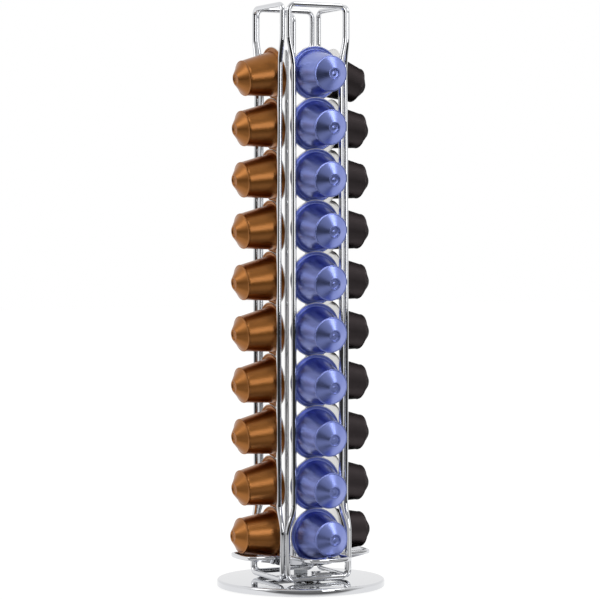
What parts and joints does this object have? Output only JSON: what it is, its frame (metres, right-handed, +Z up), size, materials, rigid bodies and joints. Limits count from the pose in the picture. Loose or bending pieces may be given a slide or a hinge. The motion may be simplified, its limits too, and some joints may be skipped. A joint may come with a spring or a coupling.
{
  "type": "coffee capsule dispenser",
  "caption": "Revolving chrome wire tower on a round base, holding columns of single-serve coffee capsules loaded at the top and taken from a tray at the bottom.",
  "frame": {"origin": "on the spin axis, at the surface that the base stands on", "axes": "+Z up along the spin axis, -Y out of the front (blue) face, +X out of the right (black) face"},
  "size_m": [0.114, 0.114, 0.3949],
  "materials": {
    "chrome": "polished chrome plate",
    "steel": "zinc-plated steel",
    "rubber": "matte black",
    "nylon": "natural nylon",
    "capsule_blue": "blue lacquer, satin",
    "capsule_black": "charcoal lacquer, satin",
    "capsule_copper": "copper lacquer, satin"
  },
  "bodies": {
    "base": {"base_disc": "chrome", "base_ballast": "steel", "base_foot_ring": "rubber", "pivot_screw": "steel", "pivot_washer": "nylon", "lock_nut": "steel"},
    "carousel": {"turntable_spider": "chrome", "capsule_tray": "chrome", "rail_frame_front": "chrome", "rail_frame_right": "chrome", "rail_frame_back": "chrome", "rail_frame_left": "chrome", "guide_wire_front": "chrome", "guide_wire_right": "chrome", "guide_wire_back": "chrome", "guide_wire_left": "chrome"},
    "stack_front": {"capsule_front_02": "capsule_blue", "capsule_front_03": "capsule_blue", "capsule_front_04": "capsule_blue", "capsule_front_05": "capsule_blue", "capsule_front_06": "capsule_blue", "capsule_front_07": "capsule_blue", "capsule_front_08": "capsule_blue", "capsule_front_09": "capsule_blue", "capsule_front_10": "capsule_blue"},
    "lowest_front": {"capsule_front_01": "capsule_blue"},
    "stack_right": {"capsule_right_02": "capsule_black", "capsule_right_03": "capsule_black", "capsule_right_04": "capsule_black", "capsule_right_05": "capsule_black", "capsule_right_06": "capsule_black", "capsule_right_07": "capsule_black", "capsule_right_08": "capsule_black", "capsule_right_09": "capsule_black", "capsule_right_10": "capsule_black"},
    "lowest_right": {"capsule_right_01": "capsule_black"},
    "stack_left": {"capsule_left_02": "capsule_copper", "capsule_left_03": "capsule_copper", "capsule_left_04": "capsule_copper", "capsule_left_05": "capsule_copper", "capsule_left_06": "capsule_copper", "capsule_left_07": "capsule_copper", "capsule_left_08": "capsule_copper", "capsule_left_09": "capsule_copper", "capsule_left_10": "capsule_copper"},
    "lowest_left": {"capsule_left_01": "capsule_copper"}
  },
  "joints": [
    {"name": "carousel_spin", "type": "hinge", "parent": "base", "child": "carousel", "pos_m": [0, 0, 0.00765], "axis": [0, 0, 1], "continuous": true},
    {"name": "stack_front_lift", "type": "slide", "parent": "carousel", "child": "stack_front", "axis": [0, 0, 1], "range_m": [0, 0.0038]},
    {"name": "lowest_front_out", "type": "slide", "parent": "carousel", "child": "lowest_front", "axis": [0, -0.9863, 0.165], "range_m": [0, 0.0225]},
    {"name": "stack_right_lift", "type": "slide", "parent": "carousel", "child": "stack_right", "axis": [0, 0, 1], "range_m": [0, 0.0038]},
    {"name": "lowest_right_out", "type": "slide", "parent": "carousel", "child": "lowest_right", "axis": [0.9863, 0, 0.165], "range_m": [0, 0.0225]},
    {"name": "stack_left_lift", "type": "slide", "parent": "carousel", "child": "stack_left", "axis": [0, 0, 1], "range_m": [0, 0.0038]},
    {"name": "lowest_left_out", "type": "slide", "parent": "carousel", "child": "lowest_left", "axis": [-0.9863, 0, 0.165], "range_m": [0, 0.0225]}
  ],
  "couplings": [
    {"joint": "stack_front_lift", "follows": "lowest_front_out", "ratio": 0.165},
    {"joint": "stack_right_lift", "follows": "lowest_right_out", "ratio": 0.165},
    {"joint": "stack_left_lift", "follows": "lowest_left_out", "ratio": 0.165}
  ]
}
